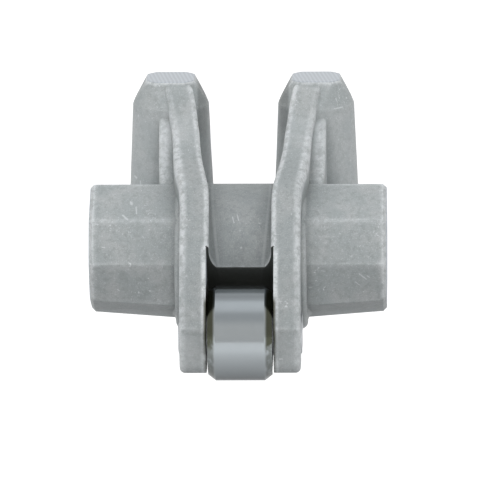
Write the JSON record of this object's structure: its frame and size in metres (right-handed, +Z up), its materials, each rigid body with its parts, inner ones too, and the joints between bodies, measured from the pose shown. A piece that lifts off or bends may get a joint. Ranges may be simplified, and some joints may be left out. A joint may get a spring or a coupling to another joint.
{
  "type": "rocker arm",
  "caption": "Forged steel roller rocker arm: long shaft hub, forked ears with a cam roller, and ribbed arms rising to closed-top lash adjuster bosses.",
  "frame": {"origin": "centre of the shaft bore, midway between the two ends of the hub", "axes": "+X along the shaft bore, +Y from the cam side to the valve side, +Z up along the adjuster bosses"},
  "size_m": [0.071, 0.0665, 0.0636],
  "materials": {
    "forged_steel": "shot-blasted forged steel, machined faces bare",
    "ground_steel": "ground and polished bearing steel",
    "pin_steel": "ground pin, ends staked",
    "needle_steel": "polished bearing steel",
    "adjuster_steel": "ground hardened steel",
    "spring_steel": "oiled spring wire",
    "pressed_steel": "pressed sheet steel",
    "ball_steel": "polished steel ball"
  },
  "bodies": {
    "rocker": {"rocker_body": "forged_steel", "roller_pin": "pin_steel", "gallery_plug_left": "ball_steel", "adjuster_plunger_left": "adjuster_steel", "adjuster_clip_left": "spring_steel", "ball_cage_left": "pressed_steel", "plunger_spring_left": "spring_steel", "check_spring_left": "spring_steel", "gallery_plug_right": "ball_steel", "adjuster_plunger_right": "adjuster_steel", "adjuster_clip_right": "spring_steel", "ball_cage_right": "pressed_steel", "plunger_spring_right": "spring_steel", "check_spring_right": "spring_steel"},
    "roller": {"roller": "ground_steel"},
    "needle_set": {"needle_01": "needle_steel", "needle_02": "needle_steel", "needle_03": "needle_steel", "needle_04": "needle_steel", "needle_05": "needle_steel", "needle_06": "needle_steel", "needle_07": "needle_steel", "needle_08": "needle_steel", "needle_09": "needle_steel", "needle_10": "needle_steel", "needle_11": "needle_steel", "needle_12": "needle_steel", "needle_13": "needle_steel", "needle_14": "needle_steel", "needle_15": "needle_steel", "needle_16": "needle_steel"},
    "adjuster_left": {"adjuster_body_left": "adjuster_steel"},
    "check_ball_left": {"check_ball_left": "ball_steel"},
    "foot_left": {"swivel_foot_left": "adjuster_steel"},
    "adjuster_right": {"adjuster_body_right": "adjuster_steel"},
    "check_ball_right": {"check_ball_right": "ball_steel"},
    "foot_right": {"swivel_foot_right": "adjuster_steel"}
  },
  "joints": [
    {"name": "roller_spin", "type": "hinge", "parent": "rocker", "child": "roller", "pos_m": [0, -0.02, -0.0157], "axis": [1, 0, 0], "continuous": true},
    {"name": "needle_orbit", "type": "hinge", "parent": "rocker", "child": "needle_set", "pos_m": [0, -0.02, -0.0157], "axis": [1, 0, 0], "continuous": true},
    {"name": "adjuster_slide_left", "type": "slide", "parent": "rocker", "child": "adjuster_left", "axis": [0, 0, 1], "range_m": [0, 0.0025], "stiffness_N_per_m": 1500, "springref_m": -0.003, "deforming": ["plunger_spring_left"]},
    {"name": "check_lift_left", "type": "slide", "parent": "rocker", "child": "check_ball_left", "axis": [0, 0, -1], "range_m": [0, 0.00025], "stiffness_N_per_m": 60, "springref_m": -0.0005, "deforming": ["check_spring_left"]},
    {"name": "foot_swivel_left", "type": "hinge", "parent": "adjuster_left", "child": "foot_left", "pos_m": [-0.0176, 0.025, 0.0026], "axis": [1, 0, 0], "range_deg": [-8, 8]},
    {"name": "adjuster_slide_right", "type": "slide", "parent": "rocker", "child": "adjuster_right", "axis": [0, 0, 1], "range_m": [0, 0.0025], "stiffness_N_per_m": 1500, "springref_m": -0.003, "deforming": ["plunger_spring_right"]},
    {"name": "check_lift_right", "type": "slide", "parent": "rocker", "child": "check_ball_right", "axis": [0, 0, -1], "range_m": [0, 0.00025], "stiffness_N_per_m": 60, "springref_m": -0.0005, "deforming": ["check_spring_right"]},
    {"name": "foot_swivel_right", "type": "hinge", "parent": "adjuster_right", "child": "foot_right", "pos_m": [0.0176, 0.025, 0.0026], "axis": [1, 0, 0], "range_deg": [-8, 8]}
  ],
  "couplings": [
    {"joint": "needle_orbit", "follows": "roller_spin", "ratio": 0.59754}
  ]
}
